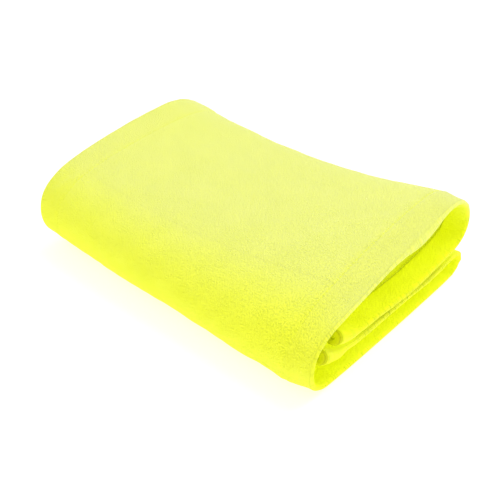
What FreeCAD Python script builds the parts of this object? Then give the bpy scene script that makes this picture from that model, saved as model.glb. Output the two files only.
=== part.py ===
import FreeCAD, Part
import math
import os

# A strip of plush cloth, folded away. Both ends of the strip are brought in to the middle, and the
# strip is then closed like a book, so that four plies lie on each other. Seen along X, the book's
# spine is the big round fold at -Y, and the two back folds are at +Y. The origin is on the surface
# that the block rests on, under its middle. Each half of the cloth is one body, hinged at the spine.

# The folded block
LENGTH = 320.0            # along X, from one long edge of the strip to the other
WIDTH = 236.0             # along Y, from the spine to the back folds
HEIGHT = 92.0             # along Z
CLOTH = 2.8               # one ply with its pile

# The folds, as outside heights, and where the two ends of the strip stop
UPPER_BACK_FOLD = 56.0    # joins the top ply to the second ply
LOWER_BACK_FOLD = 35.2    # joins the third ply to the bottom ply
UPPER_END_Y = -88.0       # end of the second ply
LOWER_END_Y = -104.0      # end of the third ply
SPINE_GAP = 0.4           # clearance where the two halves meet at the spine

# The hems: a margin turned to the inner side of the folds and sewn down near its raw edge
LONG_HEM = 26.0           # width, along both long edges of the strip
END_HEM = 20.0            # width, along each end of the strip
SEAM_INSET = 2.0          # from the margin's raw edge to the stitches
HEM_CLEARANCE = 0.2       # between an end hem and the long hems beside it
THREAD = 0.6              # thickness of the sewing thread
THREAD_WIDTH = 0.8
GROOVE = 0.7              # how deep the stitches pull into the pile
GROOVE_WIDTH = 1.0

FACE = CLOTH / 2          # from the middle of a ply to its faces
HEM_FACE = FACE + CLOTH   # from the middle of a ply to the inner face of the margin sewn to it
SPINE_Z = HEIGHT / 2
SPINE_RADIUS = SPINE_Z - FACE
SPINE_CENTRE_Y = -WIDTH / 2 + SPINE_Z
HALF_LENGTH = LENGTH / 2


def point(y, z):
    return FreeCAD.Vector(0, y, z)


def polar(centre, radius, degrees):
    """The point at a distance and a direction from another; the direction goes from +Y to +Z."""
    angle = math.radians(degrees)
    return point(centre.y + radius * math.cos(angle), centre.z + radius * math.sin(angle))


def edge(first, second):
    return Part.LineSegment(first, second).toShape()


class FoldLine:
    """The middle line of a ply, seen along X, as runs (length) and bends (radius, angle).

    turn is 1 where the bends go from +Y towards +Z, and -1 where they go the other way. All the
    bends of one line go the same way, so distances inward are always towards their centres.
    """

    def __init__(self, start, heading, turn, moves):
        self.start = start
        self.heading = heading
        self.turn = turn
        self.moves = moves

    def beside(self, inward):
        """The edges that keep one distance inward from the middle line."""
        edges = []
        here = self.start
        heading = self.heading
        for kind, size, angle in self.moves:
            inner = heading + self.turn * 90
            if kind == "run":
                there = polar(here, size, heading)
                edges.append(edge(polar(here, inward, inner), polar(there, inward, inner)))
            else:
                centre = polar(here, size, inner)
                directions = [inner + 180 + self.turn * angle * share for share in (0, 0.5, 1)]
                ends = [polar(centre, size - inward, direction) for direction in directions]
                edges.append(Part.Arc(*ends).toShape())
                there = polar(centre, size, directions[-1])
                heading += self.turn * angle
            here = there
        return edges

    def strip(self, near, far, x_low, x_high):
        """The solid between two distances inward and between two places along X."""
        first = self.beside(near)
        second = self.beside(far)
        start_cap = edge(first[0].firstVertex().Point, second[0].firstVertex().Point)
        end_cap = edge(first[-1].lastVertex().Point, second[-1].lastVertex().Point)
        outline = Part.Wire(Part.__sortEdges__(first + [end_cap] + second + [start_cap]))
        solid = Part.Face(outline).extrude(FreeCAD.Vector(x_high - x_low, 0, 0))
        solid.translate(FreeCAD.Vector(x_low, 0, 0))
        return solid


def half_line(turn, back_fold, end_y):
    """The middle line of one half: a quarter of the spine, the outer ply, a back fold, the inner ply."""
    gap_angle = math.degrees(SPINE_GAP / 2 / SPINE_RADIUS)
    start = polar(point(SPINE_CENTRE_Y, SPINE_Z), SPINE_RADIUS, 180 + turn * gap_angle)
    back_centre_y = WIDTH / 2 - back_fold / 2
    moves = [
        ("bend", SPINE_RADIUS, 90 - gap_angle),
        ("run", back_centre_y - SPINE_CENTRE_Y, 0),
        ("bend", back_fold / 2 - FACE, 180),
        ("run", back_centre_y - end_y, 0),
    ]
    return FoldLine(start, turn * (gap_angle - 90), turn, moves)


def end_line(turn, back_fold, end_y, first, last):
    """A stretch of the inner ply's middle line, between two distances from the end of the strip."""
    outer_ply_z = SPINE_Z - turn * SPINE_RADIUS
    inner_ply_z = outer_ply_z + turn * (back_fold - CLOTH)
    return FoldLine(point(end_y + first, inner_ply_z), 0, turn, [("run", last - first, 0)])


def seam_stretch(width, middle):
    """The two places that a line of the given width reaches, around its middle."""
    return middle - width / 2, middle + width / 2


def save(name, shape):
    shape.exportStep("parts/" + name + ".step")
    print(name, "solids", len(shape.Solids), "volume", round(shape.Volume), "valid", shape.isValid())


def build_half(name, turn, back_fold, end_y):
    """One half of the cloth, its three hem margins and the thread of each hem."""
    line = half_line(turn, back_fold, end_y)
    cloth = line.strip(-FACE, FACE, -HALF_LENGTH, HALF_LENGTH)

    # Long hems: one along each long edge of the strip, following the folds.
    for side, sign in (("left", -1), ("right", 1)):
        x_rim = sign * HALF_LENGTH
        x_raw = x_rim - sign * LONG_HEM
        x_seam = x_raw + sign * SEAM_INSET
        groove_x = seam_stretch(GROOVE_WIDTH, x_seam)
        thread_x = seam_stretch(THREAD_WIDTH, x_seam)
        margin = line.strip(FACE, HEM_FACE, min(x_rim, x_raw), max(x_rim, x_raw))
        margin = margin.cut(line.strip(HEM_FACE - GROOVE, HEM_FACE, *groove_x))
        cloth = cloth.cut(line.strip(-FACE, GROOVE - FACE, *groove_x))
        needle_thread = line.strip(GROOVE - FACE - THREAD, GROOVE - FACE, *thread_x)
        bobbin_thread = line.strip(HEM_FACE - GROOVE, HEM_FACE - GROOVE + THREAD, *thread_x)
        save(name + "_" + side + "_hem", margin)
        save(name + "_" + side + "_thread", Part.makeCompound([needle_thread, bobbin_thread]))

    # End hem: straight, between the two long hems. The end line is drawn from the strip's end
    # towards the back fold, and its inner side is on the other hand.
    x_reach = HALF_LENGTH - LONG_HEM - HEM_CLEARANCE
    y_seam = END_HEM - SEAM_INSET
    margin_line = end_line(turn, back_fold, end_y, 0, END_HEM)
    groove_line = end_line(turn, back_fold, end_y, *seam_stretch(GROOVE_WIDTH, y_seam))
    thread_line = end_line(turn, back_fold, end_y, *seam_stretch(THREAD_WIDTH, y_seam))
    margin = margin_line.strip(-FACE, -HEM_FACE, -x_reach, x_reach)
    margin = margin.cut(groove_line.strip(GROOVE - HEM_FACE, -HEM_FACE, -x_reach, x_reach))
    cloth = cloth.cut(groove_line.strip(FACE, FACE - GROOVE, -x_reach, x_reach))
    needle_thread = thread_line.strip(FACE - GROOVE + THREAD, FACE - GROOVE, -x_reach, x_reach)
    bobbin_thread = thread_line.strip(GROOVE - HEM_FACE, GROOVE - HEM_FACE - THREAD, -x_reach, x_reach)
    save(name + "_end_hem", margin)
    save(name + "_end_thread", Part.makeCompound([needle_thread, bobbin_thread]))
    save(name + "_cloth", cloth)


os.makedirs("parts", exist_ok=True)
build_half("lower", 1, LOWER_BACK_FOLD, LOWER_END_Y)
build_half("upper", -1, UPPER_BACK_FOLD, UPPER_END_Y)
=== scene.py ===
import math
from types import SimpleNamespace

import bpy
import numpy as np
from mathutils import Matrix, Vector


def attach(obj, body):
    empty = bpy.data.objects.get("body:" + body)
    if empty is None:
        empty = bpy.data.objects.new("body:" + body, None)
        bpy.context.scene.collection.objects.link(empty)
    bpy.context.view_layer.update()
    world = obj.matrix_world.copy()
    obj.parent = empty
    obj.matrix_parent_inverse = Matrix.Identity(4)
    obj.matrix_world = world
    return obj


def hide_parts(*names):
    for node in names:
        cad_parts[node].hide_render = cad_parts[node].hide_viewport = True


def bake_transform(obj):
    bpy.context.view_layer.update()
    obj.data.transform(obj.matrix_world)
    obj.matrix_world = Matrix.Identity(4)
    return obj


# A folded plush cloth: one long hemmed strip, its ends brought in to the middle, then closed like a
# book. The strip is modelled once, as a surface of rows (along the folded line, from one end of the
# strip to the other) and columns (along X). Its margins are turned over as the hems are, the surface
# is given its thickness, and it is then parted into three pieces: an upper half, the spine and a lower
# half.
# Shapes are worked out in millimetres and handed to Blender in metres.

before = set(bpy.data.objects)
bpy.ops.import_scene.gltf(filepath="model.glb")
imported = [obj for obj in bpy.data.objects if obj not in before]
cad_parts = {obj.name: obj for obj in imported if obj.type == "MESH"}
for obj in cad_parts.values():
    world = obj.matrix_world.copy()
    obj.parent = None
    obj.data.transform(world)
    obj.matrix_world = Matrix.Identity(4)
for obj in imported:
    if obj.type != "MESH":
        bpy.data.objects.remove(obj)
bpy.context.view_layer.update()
MM = 0.001

# ---------------------------------------------------------------- driving values, in millimetres
HALF_LENGTH = 159.0        # from the middle to where the long hems turn over
LONG_HEM = 25.0            # turned margin along both long edges
LONG_SEAM = 23.0           # from the turn to its line of stitches
END_HEM = 20.0             # turned margin at both ends of the strip
END_SEAM = 18.0
CLOTH = 2.0                # thickness of one ply
PLY_GAP = 2.1              # between the middles of two plies that are sewn together
HEM_PUFF = 0.9             # how far the two plies of a hem stand apart beyond that
END_GAPE = 1.4             # how far more the long hems open at the loose ends
SEAM_BITE = 0.6            # how far the seams pull the plies together
SEAM_GROOVE = 0.42         # how deep the long seams lie in the pile outside
PUCKER = 0.2               # height of the puckers beside them
PUCKER_PITCH = 8.5         # along a seam
LIP = 6.0                  # how far the hem hangs down at the upper back fold
SEAM_START = 0.02          # where the long seams start, as a share of the folded line
END_SEAM_STOP = 8.0        # the end seams stop this far short of the long hems
PRESSED = 0.3              # part of a ply's thickness that its seams press away
WORN_EDGE = (0.35, 0.75, 0.93, 1.0)  # thickness from a raw edge inwards, point by point, as a share
STITCH_PITCH = 3.4
STITCH_LENGTH = 2.5
STITCH_BOW = 0.35          # how far the middle of a stitch stands up
STITCH_DEPTH = 0.65        # from the middle of a ply to the ends of its stitches
THREAD_RADIUS = 0.32
ROWS = 411                 # rows along the folded line, margins not counted
HEM_COLUMNS = 27           # columns along X in each long hem and just beside it
MIDDLE_COLUMNS = 93        # columns between the long hems
FINE_BESIDE_HEM = 9.0      # the columns stay close together this far beside a hem
TURN_STEPS = 7             # steps round a turned edge
ROUND_EDGE = 3.0           # length of cloth round a turned edge
HINGE_Z = 46.0
BLEND_REACH = 20.0         # the spine piece takes in the cloth this far above and below HINGE_Z, and a ply's thickness more
RIM_REACH = 90.0           # how far in from the hems the rims' wander reaches
BROAD_WAVES = (14, (45, 130), 0.55)  # the cloth's unevenness: how many waves, their lengths, height
FINE_WAVES = (18, (14, 34), 0.13)
SEED = 11                  # of those waves

# Looks, as shares
PAINTED_GLOW = 0.42                # painted glow: share of the dye's colour that the pile gives off as light in full daylight
# painted glow of the thread, as a share of its colour
THREAD_PAINTED_GLOW = 0.25
INNER_NAP = 0.3            # sheen of the cloth's inner face

# The folded line seen along X, as (y, z) of the ply's middle. The four columns are the left rim,
# the sagging middle, the crest near the right end, and the right rim.
FOLDED_LINE = [
    # second ply, from the strip's end to the upper back fold
    ((-86, 47), (-86, 41), (-87, 48.5), (-85, 43)),
    ((-77, 41), (-78, 36.5), (-77, 41), (-76, 38)),
    ((-60, 37), (-60, 30.5), (-55, 31.5), (-55, 32.5)),
    ((-28, 35), (-28, 27.5), (-26, 28), (-25, 31.8)),
    ((20, 35), (20, 26), (20, 27), (20, 32.3)),
    ((65, 36), (62, 28), (62, 28), (62, 35.5)),
    ((94, 37.5), (90, 32.5), (94, 31), (94, 38)),
    # upper back fold
    ((108, 41), (105, 38), (114, 37), (107, 44)),
    ((114, 50), (111, 47), (122, 49), (112.5, 56)),
    ((110, 62), (108, 57), (119.5, 66), (110.5, 71.5)),
    ((99, 73), (99, 64.5), (107.5, 82), (101.5, 84.5)),
    ((84, 82.5), (84, 68.5), (90, 90), (86, 91.5)),
    # top ply
    ((60, 88.5), (60, 70.5), (66, 92), (66, 91)),
    ((20, 90), (20, 73.5), (25, 88.5), (25, 84.5)),
    ((-25, 87), (-20, 75), (-18, 84), (-15, 79)),
    ((-60, 82.5), (-58, 74), (-53, 77.5), (-50, 73.5)),
    ((-84, 77), (-85, 69.5), (-83, 70), (-81, 68.5)),
    ((-102, 68), (-103, 61), (-102, 61), (-101, 62.5)),
    # spine
    ((-112, 57), (-114, 51), (-113, 51), (-112.5, 54)),
    ((-115.5, 44), (-118, 39), (-118.5, 39), (-117, 41)),
    ((-114, 28), (-117.5, 25), (-119.5, 24), (-116.5, 27)),
    ((-106, 15), (-110.5, 13.5), (-114.5, 11), (-110.5, 13)),
    ((-88, 4.2), (-93, 3.8), (-99, 3.2), (-97, 4)),
    # bottom ply
    ((-68, 1.5), (-72, 1.5), (-76, 1.5), (-74, 1.6)),
    ((-15, 1.4), (-15, 1.4), (-15, 1.4), (-15, 1.4)),
    ((50, 1.4), (50, 1.4), (50, 1.4), (50, 1.4)),
    ((82, 1.6), (80, 1.6), (83, 1.6), (84, 1.6)),
    ((99, 3.4), (97, 3.4), (101, 3.4), (101, 3)),
    # lower back fold
    ((109, 9.5), (108, 8.5), (112, 9.5), (111, 9)),
    ((112, 19), (111, 15.5), (114, 17.5), (112.5, 18.5)),
    ((106, 27.5), (106, 23.5), (108, 25), (107, 26.5)),
    # third ply, to the strip's other end
    ((90, 31), (88, 25), (92, 27.5), (95, 28)),
    ((60, 31), (55, 23), (58, 24), (62, 25.5)),
    ((15, 31), (15, 21.5), (15, 22.5), (18, 27.5)),
    ((-30, 31), (-30, 22), (-30, 23), (-28, 26.5)),
    ((-62, 31.5), (-62, 24.5), (-60, 26), (-60, 27)),
    ((-84, 34), (-84, 29.5), (-82, 34.5), (-82, 35)),
    ((-97, 39), (-97, 35.5), (-92, 40), (-91, 40)),
    ((-105, 45), (-104, 41), (-99, 45), (-98, 44.5)),
]

# How far each rim stands out past the end of the block: share of the folded line, left, right.
RIM_WANDER = [
    (0.0, -3, -4), (0.06, -1, -1), (0.12, 0, 4), (0.2, 0, 4), (0.25, -1, 2.5), (0.32, 0, 0), (0.38, 0, 0),
    (0.45, 1.5, 0), (0.5, 2.5, 0), (0.55, 1.5, -3), (0.6, 0, -1), (0.66, 0, 1), (0.74, 0, 2.5),
    (0.8, 0, 3), (0.86, 0, 2), (0.94, -1, -1), (1.0, -3, -4),
]

# Small creases: place along X, share of the folded line, direction, length, width and depth.
CREASES = [
    (150, 0.758, 42, 20, 2.4, 1.5), (146, 0.737, 38, 17, 2.2, 1.2), (151, 0.772, 25, 14, 2.0, 0.9),
    (-150, 0.76, -38, 20, 2.4, 1.2), (-147, 0.245, -30, 16, 2.6, 1.0), (150, 0.235, 32, 15, 2.4, 1.0),
    (143, 0.552, 75, 18, 3.0, 0.7), (-146, 0.46, -70, 18, 3.0, 0.6), (60, 0.37, 20, 45, 8.0, 0.5),
    (-70, 0.41, -25, 50, 9.0, 0.5), (10, 0.49, 8, 60, 8.0, 0.6),
]


# ---------------------------------------------------------------- curves
def smooth(t):
    t = np.clip(t, 0, 1)
    return t * t * (3 - 2 * t)


def bump(t, centre, width):
    return np.exp(-(((t - centre) / width) ** 2))


def spline(points, steps):
    """A Catmull-Rom curve through the points, with knots spaced by the root of their distance."""
    padded = np.vstack([2 * points[0] - points[1], points, 2 * points[-1] - points[-2]])
    out = []
    for i in range(1, len(padded) - 2):
        p = padded[i - 1:i + 3]
        gaps = np.linalg.norm(np.diff(p, axis=0), axis=1) ** 0.5
        t0, t1, t2, t3 = np.concatenate([[0], np.cumsum(gaps)])
        t = np.linspace(t1, t2, steps, endpoint=False)[:, None]
        a1 = (t1 - t) / (t1 - t0) * p[0] + (t - t0) / (t1 - t0) * p[1]
        a2 = (t2 - t) / (t2 - t1) * p[1] + (t - t1) / (t2 - t1) * p[2]
        a3 = (t3 - t) / (t3 - t2) * p[2] + (t - t2) / (t3 - t2) * p[3]
        b1 = (t2 - t) / (t2 - t0) * a1 + (t - t0) / (t2 - t0) * a2
        b2 = (t3 - t) / (t3 - t1) * a2 + (t - t1) / (t3 - t1) * a3
        out.append((t2 - t) / (t2 - t1) * b1 + (t - t1) / (t2 - t1) * b2)
    out.append(padded[-2][None])
    return np.vstack(out)


def evenly(line, count):
    """The line again, as count points that are equally far apart along it."""
    along = np.concatenate([[0], np.cumsum(np.linalg.norm(np.diff(line, axis=0), axis=1))])
    places = np.linspace(0, along[-1], count)
    return np.column_stack([np.interp(places, along, line[:, k]) for k in range(line.shape[1])])


def eased(line, rounds):
    """The line with its small kinks averaged out."""
    line = line.copy()
    for _ in range(rounds):
        line[1:-1] = 0.5 * line[1:-1] + 0.25 * (line[:-2] + line[2:])
    return line


# ---------------------------------------------------------------- the cloth's surface
def column_places():
    """X of each column: close together in the hems, wider in the middle."""
    inner = HALF_LENGTH - LONG_HEM - FINE_BESIDE_HEM
    hem = np.linspace(-HALF_LENGTH, -inner, HEM_COLUMNS)
    middle = np.linspace(-inner, inner, MIDDLE_COLUMNS)
    return np.concatenate([hem, middle[1:-1], -hem[::-1]])


def folded_at(x, table):
    """The folded line at one place along X, as ROWS points.

    The sagging middle holds at x = -40. The left rim and the crest take over towards the two ends, and
    the right rim from x = 128 on.
    """
    left = np.clip((-40 - x) / 120, 0, 1) ** 2
    right = np.clip((x + 40) / 180, 0, 1) ** 2
    rim = smooth((x - 128) / 32)
    points = table[:, 1] * (1 - left - right) + table[:, 0] * left + table[:, 2] * right
    points = points * (1 - rim) + table[:, 3] * rim
    return evenly(eased(evenly(spline(points, 12), ROWS), 12), ROWS)


def waves(x, s, rng, count, lengths, height):
    """Soft unevenness: plane waves over the cloth in random directions, about one height tall."""
    total = np.zeros(np.broadcast(x, s).shape)
    for _ in range(count):
        length = rng.uniform(*lengths)
        angle = rng.uniform(0, math.pi)
        phase = rng.uniform(0, 2 * math.pi)
        total += np.sin(2 * math.pi * (x * math.cos(angle) + s * math.sin(angle)) / length + phase)
    return total * height / math.sqrt(count)


def crease(x, s, where, length):
    """One soft crease: how far it pushes the cloth out at each place."""
    centre, share, angle, reach, width, depth = where
    angle = math.radians(angle)
    along = (x - centre) * math.cos(angle) + (s - share * length) * math.sin(angle)
    across = (s - share * length) * math.cos(angle) - (x - centre) * math.sin(angle)
    return depth * bump(along, 0, reach) * bump(across, 0, width)


def unit(vectors):
    return vectors / np.linalg.norm(vectors, axis=-1, keepdims=True)


def normals_of(grid):
    """Unit normals of a grid of points; on the plies they point to the inner side of the folds."""
    across = np.cross(np.gradient(grid, axis=0), np.gradient(grid, axis=1))
    return across / np.maximum(np.linalg.norm(across, axis=2, keepdims=True), 1e-9)


def smooth_surface(xs, share):
    """The folded line carried along X, with its rims in and out as the cloth lies."""
    table = np.array(FOLDED_LINE, float)
    wander = np.array(RIM_WANDER)
    left_rim = eased(np.interp(share, wander[:, 0], wander[:, 1]), 60)
    right_rim = eased(np.interp(share, wander[:, 0], wander[:, 2]), 60)
    columns = []
    for x in xs:
        to_left = smooth(1 - (x + HALF_LENGTH - LONG_HEM) / RIM_REACH)
        to_right = smooth(1 - (HALF_LENGTH - LONG_HEM - x) / RIM_REACH)
        place = x - to_left * left_rim + to_right * right_rim
        columns.append(np.column_stack([place, folded_at(x, table)]))
    return np.array(columns)


def seam_pull(x, s, resting):
    """How far the long seams pull the pile in, with a pucker every few stitches beside them."""
    pull = 0
    for seam in (-1, 1):
        away = x - seam * (HALF_LENGTH - LONG_SEAM)
        wobble = np.sin(2 * math.pi * s / PUCKER_PITCH + 1.3 * np.sin(s / 23 + seam))
        pull = pull + SEAM_GROOVE * bump(away, 0, 1.9)
        pull = pull + PUCKER * wobble * bump(away, -seam * 1.5, 4.2) * resting
    return pull


def cloth_surface(xs):
    """The middle of the ply between its turned edges, as columns, rows and (x, y, z).

    With it come the rows' shares of the folded line, and the length of that line.
    """
    share = np.linspace(0, 1, ROWS)
    grid = smooth_surface(xs, share)
    length = np.linalg.norm(np.diff(grid[len(xs) // 2], axis=0), axis=1).sum()
    x = xs[:, None]
    s = share[None, :] * length
    rng = np.random.default_rng(SEED)
    rise = waves(x, s, rng, *BROAD_WAVES) + waves(x, s, rng, *FINE_WAVES)
    off_table = smooth((grid[:, :, 2] - 2) / 6)
    outside = smooth((share - 0.2) / 0.05) * smooth((0.82 - share) / 0.05)
    rise *= off_table * (0.3 + 0.7 * outside)
    for where in CREASES:
        rise += crease(x, s, where, length)
    rise -= seam_pull(x, s, off_table)
    grid = grid - normals_of(grid) * rise[:, :, None]
    # No crease pushes the underside through the floor.
    grid[:, :, 2] = np.maximum(grid[:, :, 2], CLOTH / 2 + 0.1)
    return grid, share, length


# ---------------------------------------------------------------- the turned margins
def hem_order(count, margin, turn_steps):
    """Index into the surface, how far turned over and on which side, along one way of the cloth."""
    steps = np.arange(1, turn_steps) / turn_steps
    start = list(range(margin, -1, -1)) + [0] * len(steps)
    start_turn = [1.0] * (margin + 1) + list(steps[::-1])
    index = start + list(range(count)) + [count - 1 - i for i in start[::-1]]
    turn = start_turn + [0.0] * count + start_turn[::-1]
    side = [-1] * len(start) + [0] * count + [1] * len(start)
    return np.array(index), np.array(turn), np.array(side)


def wrapped_places(xs, share, length, margin_rows):
    """Where each point of the wrapped cloth is on the surface, and how far it is turned over.

    What goes along X is a column of numbers, and what goes along the folded line is a row.
    """
    margin_columns = int(np.searchsorted(xs, -HALF_LENGTH + LONG_HEM))
    columns, turn_x, side = hem_order(len(xs), margin_columns, TURN_STEPS)
    rows, turn_s, end = hem_order(len(share), margin_rows, TURN_STEPS)
    at = SimpleNamespace(pick=np.ix_(columns, rows), length=length)
    at.x = xs[columns][:, None]
    at.s = share[rows][None, :] * length
    at.share = at.s / length
    at.from_rim = HALF_LENGTH - np.abs(at.x)
    at.from_end = np.minimum(at.s, length - at.s)
    at.turn_x = turn_x[:, None]
    at.turn_s = turn_s[None, :]
    at.side = side[:, None]
    at.end = end[None, :]
    at.over_x = (1 - np.cos(math.pi * at.turn_x)) / 2
    at.over_s = (1 - np.cos(math.pi * at.turn_s)) / 2
    return at


def hem_gaps(at):
    """How far apart the two plies of the long hems and of the end hems lie.

    Each hem is tight at its seam and puffs up beyond it. The long hem gapes at the loose ends, and its
    underside hangs down as a lip where the right rim comes over the upper back fold.
    """
    beyond_seam = smooth((LONG_SEAM - at.from_rim) / 10)
    lip = bump(at.share, 0.325, 0.03) * smooth((at.x - 130) / 20)
    gape = smooth((30 - at.from_end) / 14)
    long_gap = PLY_GAP + beyond_seam * (HEM_PUFF + LIP * lip + END_GAPE * gape)
    long_gap = long_gap - SEAM_BITE * bump(at.from_rim, LONG_SEAM, 1.4)
    end_gap = PLY_GAP + HEM_PUFF * smooth((END_SEAM - at.from_end) / 12)
    return long_gap, end_gap


def turned_over(main, inward, at):
    """The surface with its margins: end hems turned first, then the long hems over them.

    That makes four plies at a corner.
    """
    long_gap, end_gap = hem_gaps(at)
    near_end = smooth((END_HEM + 20 - at.from_end) / 18)
    first_turn = at.over_s * end_gap
    second_turn = long_gap + end_gap * (2 * near_end * (1 - at.over_s) + at.over_s)
    offset = (1 - at.over_x) * first_turn + at.over_x * second_turn
    bulge_x = at.side * np.sin(math.pi * at.turn_x) * (second_turn - first_turn) / 2
    bulge_s = at.end * np.sin(math.pi * at.turn_s) * end_gap / 2
    grid = main[at.pick] + inward[at.pick] * offset[:, :, None]
    grid += unit(np.gradient(main, axis=0))[at.pick] * bulge_x[:, :, None]
    grid += unit(np.gradient(main, axis=1))[at.pick] * bulge_s[:, :, None]
    return grid


def thickness(at, shape):
    """One ply's thickness: pressed thin at the seams and worn thin at the raw edges."""
    columns, rows = shape
    thick = np.full(shape, CLOTH)
    thick *= 1 - PRESSED * bump(at.from_rim, LONG_SEAM, 1.6)
    thick *= 1 - PRESSED * bump(at.from_end, END_SEAM, 1.6)
    edge_x = np.minimum(np.arange(columns), np.arange(columns)[::-1])
    edge_s = np.minimum(np.arange(rows), np.arange(rows)[::-1])
    from_raw_edge = np.minimum(edge_x[:, None], edge_s[None, :])
    return thick * np.interp(from_raw_edge, np.arange(len(WORN_EDGE)), WORN_EDGE)


def rolled_corners(at):
    """1 in the rolled corners of the loose ends, and 0 away from them."""
    return smooth((8 - at.from_end) / 7) * smooth((24 - at.from_rim) / 14)


def daylight(at):
    """How much light reaches the inner and the outer face, from 0 deep in a hem to 1 in the open.

    The two inner plies get less of it where they lie on each other, and so do the raw edges.
    """
    # These values are painted shade: the plush material darkens its colour and its glow by them.
    in_long_hem = smooth((LONG_HEM + 4 - at.from_rim) / 4)
    in_end_hem = smooth((END_HEM + 4 - at.from_end) / 4)
    between = smooth((at.from_end - 40) / 30) * smooth((0.2 * at.length - at.from_end) / 30)
    between = between * (1 - np.maximum(at.over_x, at.over_s))
    raw_edge = bump(at.from_rim, LONG_SEAM + 1, 1.6) * at.over_x
    inner = 0.85 * (1 - np.maximum(in_long_hem, in_end_hem))
    outer = (1 - 0.4 * between) * (1 - 0.75 * raw_edge) * (1 - 0.65 * rolled_corners(at))
    return inner, outer


def standing_nap(at):
    """How much of the pile stands up and shimmers: most on the top ply, little on the margins."""
    brushed = smooth((at.share - 0.2) / 0.05) * smooth((0.5 - at.share) / 0.09)
    turned = np.maximum(at.over_x, at.over_s)
    return (0.22 + 0.7 * brushed) * (1 - 0.65 * turned) * (1 - 0.9 * rolled_corners(at))


def places_laid_flat(at):
    """Where each point is on the cloth spread flat, with its margins outside."""
    past_x = at.side * (2 * at.from_rim + ROUND_EDGE) * np.minimum(at.turn_x * TURN_STEPS, 1)
    past_s = at.end * (2 * at.from_end + ROUND_EDGE) * np.minimum(at.turn_s * TURN_STEPS, 1)
    return np.stack(np.broadcast_arrays(at.x + past_x, at.s + past_s), axis=2)


def wrapped_cloth():
    """The whole cloth with its margins turned over, as a grid, and what the pieces need of it."""
    cloth = SimpleNamespace(xs=column_places())
    cloth.main, cloth.share, cloth.length = cloth_surface(cloth.xs)
    cloth.inward = normals_of(cloth.main)
    margin_rows = int(round(END_HEM / cloth.length * (ROWS - 1)))
    at = wrapped_places(cloth.xs, cloth.share, cloth.length, margin_rows)
    cloth.first_main_row = margin_rows + TURN_STEPS
    cloth.grid = turned_over(cloth.main, cloth.inward, at)
    cloth.normal = normals_of(cloth.grid)
    cloth.thick = thickness(at, cloth.grid.shape[:2])
    cloth.inner_light, cloth.outer_light = daylight(at)
    cloth.nap = standing_nap(at)
    cloth.flat = places_laid_flat(at)
    return cloth


# ---------------------------------------------------------------- meshes
def new_object(name, vertices, faces, material):
    mesh = bpy.data.meshes.new(name)
    mesh.from_pydata(vertices.tolist(), [], faces.tolist())
    mesh.polygons.foreach_set("use_smooth", [True] * len(mesh.polygons))
    mesh.update()
    mesh.materials.append(material)
    obj = bpy.data.objects.new(name, mesh)
    bpy.context.scene.collection.objects.link(obj)
    return obj


def add_uv(mesh, uv):
    corners = np.zeros(len(mesh.loops), np.int32)
    mesh.loops.foreach_get("vertex_index", corners)
    layer = mesh.uv_layers.new(name="cloth")
    layer.data.foreach_set("uv", uv[corners].astype(np.float32).ravel())


def add_values(mesh, name, values):
    layer = mesh.attributes.new(name=name, type="FLOAT", domain="POINT")
    layer.data.foreach_set("value", values.astype(np.float32))


def shell(name, cloth, first_row, last_row, material):
    """A stretch of the cloth, between two rows, as a closed thick sheet."""
    keep = slice(first_row, last_row + 1)
    grid = cloth.grid[:, keep]
    normal = cloth.normal[:, keep]
    half = normal * cloth.thick[:, keep, None] / 2
    columns, rows = grid.shape[:2]
    count = columns * rows

    number = np.arange(count).reshape(columns, rows)
    corners = [number[:-1, :-1], number[1:, :-1], number[1:, 1:], number[:-1, 1:]]
    quads = np.stack(corners, axis=2).reshape(-1, 4)
    rim = np.concatenate([number[:, 0], number[-1, 1:], number[-2::-1, -1], number[0, -2:0:-1]])
    following = np.roll(rim, -1)
    walls = np.stack([following, rim, rim + count, following + count], axis=1)
    faces = np.concatenate([quads, quads[:, ::-1] + count, walls])
    vertices = np.concatenate([(grid + half).reshape(-1, 3), (grid - half).reshape(-1, 3)]) * MM
    obj = new_object(name, vertices, faces, material)

    flat = cloth.flat[:, keep].reshape(-1, 2) * MM
    add_uv(obj.data, np.concatenate([flat, flat]))
    inner_light = cloth.inner_light[:, keep].ravel()
    outer_light = cloth.outer_light[:, keep].ravel()
    add_values(obj.data, "daylight", np.concatenate([inner_light, outer_light]))
    inner_nap = np.full(count, INNER_NAP)
    add_values(obj.data, "nap", np.concatenate([inner_nap, cloth.nap[:, keep].ravel()]))
    flat_normal = normal.reshape(-1, 3)
    obj.data.normals_split_custom_set_from_vertices(np.concatenate([flat_normal, -flat_normal]).tolist())
    return obj


def stitch_shape():
    """One stitch along X, bowed up along Z: rings of points and the faces between them."""
    rings, sides = 5, 6
    vertices = []
    for i in range(rings):
        t = i / (rings - 1) * 2 - 1
        radius = THREAD_RADIUS * math.sqrt(1 - (0.93 * t) ** 2)
        bow = STITCH_BOW * (1 - t * t)
        for k in range(sides):
            a = 2 * math.pi * k / sides
            vertices.append((t * STITCH_LENGTH / 2, radius * math.cos(a), radius * math.sin(a) + bow))
    faces = []
    for i in range(rings - 1):
        for k in range(sides):
            a = i * sides + k
            b = i * sides + (k + 1) % sides
            faces.append((a, b, b + sides, a + sides))
    return np.array(vertices), np.array(faces)


def stitch_rows(line, inward, index, spots):
    """The needle row on the cloth and the bobbin row on the margin, at spots along one line.

    Each row is its stitches' places, directions and outward directions.
    """
    place = np.column_stack([np.interp(spots, index, line[:, k]) for k in range(3)])
    up = unit(np.column_stack([np.interp(spots, index, inward[:, k]) for k in range(3)]))
    slope = np.gradient(line, index, axis=0)
    along = unit(np.column_stack([np.interp(spots, index, slope[:, k]) for k in range(3)]))
    needle = (place - up * STITCH_DEPTH, along, -up)
    bobbin = (place + up * (PLY_GAP + STITCH_DEPTH), along, up)
    return [needle, bobbin]


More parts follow.
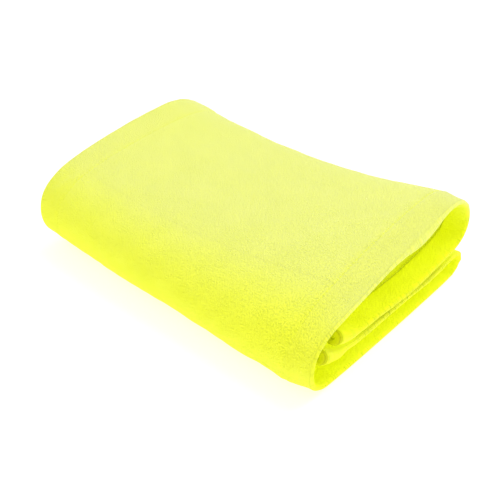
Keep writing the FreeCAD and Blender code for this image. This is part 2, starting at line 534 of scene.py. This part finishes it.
def sewing(name, cloth, low, high, end_row, material):
    """The stitches of one stretch of cloth as one piece: both long seams, and an end seam if any."""
    seams = []
    for sign in (-1, 1):
        column = int(np.argmin(np.abs(cloth.xs - sign * (HALF_LENGTH - LONG_SEAM))))
        count = int(cloth.length * (high - low) / STITCH_PITCH)
        spots = (low + (np.arange(count) + 0.5) / count * (high - low)) * (ROWS - 1)
        seams += stitch_rows(cloth.main[column], cloth.inward[column], np.arange(ROWS), spots)
    if end_row is not None:
        reach = HALF_LENGTH - LONG_HEM - END_SEAM_STOP
        spots = np.linspace(-reach, reach, int(2 * reach / STITCH_PITCH))
        seams += stitch_rows(cloth.main[:, end_row], cloth.inward[:, end_row], cloth.xs, spots)

    shape, faces = stitch_shape()
    vertices = []
    for row in seams:
        for place, along, up in zip(*row):
            side = np.cross(up, along)
            vertices.append(place + shape[:, :1] * along + shape[:, 1:2] * side + shape[:, 2:3] * up)
    shift = np.arange(len(vertices))[:, None, None] * len(shape)
    return new_object(name, np.concatenate(vertices) * MM, (faces[None] + shift).reshape(-1, 4), material)


# ---------------------------------------------------------------- materials
def node(tree, kind, **settings):
    """A new node, with each setting given to its property or to its socket of that name."""
    made = tree.nodes.new(kind)
    for key, value in settings.items():
        if hasattr(made, key):
            setattr(made, key, value)
        else:
            made.inputs[key.replace("_", " ")].default_value = value
    return made


def set_sockets(shader, values):
    for socket, value in values.items():
        shader.inputs[socket].default_value = value


def ramp(tree, amount, low, high):
    """A colour between two, each given as its position on the ramp and its colour."""
    made = tree.nodes.new("ShaderNodeValToRGB")
    for element, (position, colour) in zip(made.color_ramp.elements, (low, high)):
        element.position = position
        element.color = (*colour, 1)
    tree.links.new(amount, made.inputs["Fac"])
    return made.outputs["Color"]


def multiplied(tree, first, second):
    made = node(tree, "ShaderNodeMix", data_type="RGBA", blend_type="MULTIPLY")
    made.inputs[0].default_value = 1.0
    tree.links.new(first, made.inputs[6])
    tree.links.new(second, made.inputs[7])
    return made.outputs[2]


def plush_material():
    """Neon yellow short pile: mottled nap, fine fibres, a pale sheen, and a painted glow that fades in
    the painted shade.
    """
    material = bpy.data.materials.new("plush")
    material.use_nodes = True
    tree = material.node_tree
    link = tree.links.new
    shader = tree.nodes["Principled BSDF"]
    where = node(tree, "ShaderNodeUVMap", uv_map="cloth")
    mottle = node(tree, "ShaderNodeTexNoise", Scale=38.0, Detail=4.0, Roughness=0.6)
    tufts = node(tree, "ShaderNodeTexNoise", Scale=820.0, Detail=2.0, Roughness=0.55)
    fibres = node(tree, "ShaderNodeTexNoise", Scale=2600.0, Detail=2.0, Roughness=0.6)
    for texture in (mottle, tufts, fibres):
        link(where.outputs["UV"], texture.inputs["Vector"])
    light = node(tree, "ShaderNodeAttribute", attribute_name="daylight")
    nap = node(tree, "ShaderNodeAttribute", attribute_name="nap")

    dye = ramp(tree, mottle.outputs["Fac"], (0.3, (0.87, 0.93, 0.006)), (0.72, (0.94, 0.99, 0.018)))
    # Painted shade: the colour darkens where the tufts' noise is low, in the low places of the pile's
    # bump.
    shade_between_tufts = ramp(tree, tufts.outputs["Fac"], (0.34, (0.60, 0.63, 0.30)), (0.56, (1, 1, 1)))
    # Painted shade: the colour darkens where the daylight value is low, in the hems, between the inner
    # plies, at the raw edges and in the rolled corners.
    painted_shade = ramp(tree, light.outputs["Fac"], (0, (0.45, 0.42, 0.2)), (0.6, (1, 1, 1)))
    colour = multiplied(tree, multiplied(tree, dye, shade_between_tufts), painted_shade)
    link(colour, shader.inputs["Base Color"])

    height = node(tree, "ShaderNodeMath", operation="MULTIPLY_ADD")
    height.inputs[1].default_value = 0.35
    link(fibres.outputs["Fac"], height.inputs[0])
    link(tufts.outputs["Fac"], height.inputs[2])
    pile = node(tree, "ShaderNodeBump", Strength=1.0, Distance=0.0016)
    link(height.outputs[0], pile.inputs["Height"])
    link(pile.outputs["Normal"], shader.inputs["Normal"])

    # Painted glow: the pile gives off light, strongest where the daylight value is 1.
    painted_glow_strength = node(tree, "ShaderNodeMath", operation="MULTIPLY")
    painted_glow_strength.inputs[1].default_value = PAINTED_GLOW
    link(light.outputs["Fac"], painted_glow_strength.inputs[0])
    link(painted_glow_strength.outputs[0], shader.inputs["Emission Strength"])
    link(colour, shader.inputs["Emission Color"])
    link(nap.outputs["Fac"], shader.inputs["Sheen Weight"])
    set_sockets(shader, {
        "Roughness": 0.95,
        "Specular IOR Level": 0.05,
        "Subsurface Weight": 0.35,
        "Subsurface Radius": (1.0, 1.0, 0.25),
        "Subsurface Scale": 0.003,
        "Sheen Roughness": 0.8,
        "Sheen Tint": (0.97, 1.0, 0.8, 1),
    })
    return material


def thread_material():
    """Spun polyester thread, a little duller than the pile, with its twist as a bump."""
    material = bpy.data.materials.new("thread")
    material.use_nodes = True
    tree = material.node_tree
    link = tree.links.new
    shader = tree.nodes["Principled BSDF"]
    where = node(tree, "ShaderNodeTexCoord")
    twist = node(tree, "ShaderNodeTexWave", Scale=900.0, Distortion=1.5, Detail=1.0)
    twist.bands_direction = "DIAGONAL"
    link(where.outputs["Object"], twist.inputs["Vector"])
    tone = ramp(tree, twist.outputs["Fac"], (0, (0.80, 0.87, 0.02)), (1, (0.93, 0.97, 0.05)))
    link(tone, shader.inputs["Base Color"])
    link(tone, shader.inputs["Emission Color"])
    relief = node(tree, "ShaderNodeBump", Strength=0.4, Distance=0.0001)
    link(twist.outputs["Fac"], relief.inputs["Height"])
    link(relief.outputs["Normal"], shader.inputs["Normal"])
    # The thread's emission is a painted glow.
    set_sockets(shader, {"Emission Strength": THREAD_PAINTED_GLOW, "Roughness": 0.6, "Sheen Weight": 0.2})
    return material


def floor_material():
    """A white studio table, lit through from below so that it casts light up."""
    material = bpy.data.materials.new("floor")
    material.use_nodes = True
    set_sockets(material.node_tree.nodes["Principled BSDF"], {
        "Base Color": (0.7, 0.7, 0.7, 1),
        "Roughness": 0.9,
        "Emission Color": (1, 1, 1, 1),
        "Emission Strength": 0.6,
    })
    return material


# ---------------------------------------------------------------- the pieces
plush = plush_material()
thread = thread_material()
cloth = wrapped_cloth()

# The spine piece takes in all rows that come within BLEND_REACH of HINGE_Z, with a ply's thickness to
# spare. The shares keep the search to the rows from the top ply round the spine to the bottom ply.
lead = cloth.first_main_row
last_row = cloth.grid.shape[1] - 1
heights = cloth.grid[:, lead:lead + ROWS, 2]
near_spine = (cloth.share > 0.34) & (cloth.share < 0.64)
above_bend = heights.min(axis=0) > HINGE_Z + BLEND_REACH + CLOTH
below_bend = heights.max(axis=0) < HINGE_Z - BLEND_REACH - CLOTH
upper_cut = max(np.flatnonzero(near_spine & above_bend))
lower_cut = min(np.flatnonzero(near_spine & below_bend))
upper_share, lower_share = cloth.share[upper_cut], cloth.share[lower_cut]

cloth_upper = shell("cloth_upper", cloth, 0, lead + upper_cut, plush)
cloth_spine = shell("cloth_spine", cloth, lead + upper_cut, lead + lower_cut, plush)
cloth_lower = shell("cloth_lower", cloth, lead + lower_cut, last_row, plush)
end_row = int(round(END_SEAM / cloth.length * (ROWS - 1)))
sewing_upper = sewing("sewing_upper", cloth, SEAM_START, upper_share, end_row, thread)
sewing_spine = sewing("sewing_spine", cloth, upper_share, lower_share, None, thread)
sewing_lower = sewing("sewing_lower", cloth, lower_share, 1 - SEAM_START, ROWS - 1 - end_row, thread)

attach(cloth_upper, "upper_half")
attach(sewing_upper, "upper_half")
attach(cloth_lower, "lower_half")
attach(sewing_lower, "lower_half")
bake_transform(cloth_spine)
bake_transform(sewing_spine)

halves = (("upper", cloth_upper, sewing_upper), ("lower", cloth_lower, sewing_lower))
for half, half_cloth, half_sewing in halves:
    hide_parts(half + "_cloth", half + "_left_hem", half + "_right_hem", half + "_end_hem")
    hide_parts(half + "_left_thread", half + "_right_thread", half + "_end_thread")


# ---------------------------------------------------------------- floor, light, camera, in metres
def studio_floor(size):
    mesh = bpy.data.meshes.new("floor")
    corners = [(-size, -size, 0), (size, -size, 0), (size, size, 0), (-size, size, 0)]
    mesh.from_pydata(corners, [], [(0, 1, 2, 3)])
    mesh.materials.append(floor_material())
    floor = bpy.data.objects.new("floor", mesh)
    bpy.context.scene.collection.objects.link(floor)


def bright_room(strength):
    world = bpy.data.worlds.new("studio")
    world.use_nodes = True
    background = world.node_tree.nodes["Background"]
    set_sockets(background, {"Color": (1, 1, 1, 1), "Strength": strength})
    bpy.context.scene.world = world


def soft_light(name, place, size, watts):
    """A square lamp that faces the middle of the block."""
    data = bpy.data.lights.new(name, "AREA")
    data.shape = "SQUARE"
    data.size = size
    data.energy = watts
    light = bpy.data.objects.new(name, data)
    light.location = place
    light.rotation_euler = (Vector((0, 0, 0.04)) - Vector(place)).to_track_quat("-Z", "Y").to_euler()
    bpy.context.scene.collection.objects.link(light)


def photo_camera(azimuth, elevation, distance):
    """Looks down at the block from its near right corner."""
    back = Vector((
        math.sin(azimuth) * math.cos(elevation),
        -math.cos(azimuth) * math.cos(elevation),
        math.sin(elevation),
    ))
    data = bpy.data.cameras.new("camera")
    data.lens = 59.6
    data.sensor_width = 36
    data.shift_y = 0.0148
    camera = bpy.data.objects.new("camera", data)
    camera.location = back * distance
    camera.rotation_euler = (-back).to_track_quat("-Z", "Y").to_euler()
    bpy.context.scene.collection.objects.link(camera)
    bpy.context.scene.camera = camera


studio_floor(30.0)
bright_room(0.52)
soft_light("key", (0.3, 0.8, 1.6), 1.2, 17)
soft_light("fill", (-0.9, -1.2, 1.4), 1.4, 6)
photo_camera(math.radians(40.4), math.radians(37.8), 0.800)
bpy.context.scene.view_settings.view_transform = "Standard"
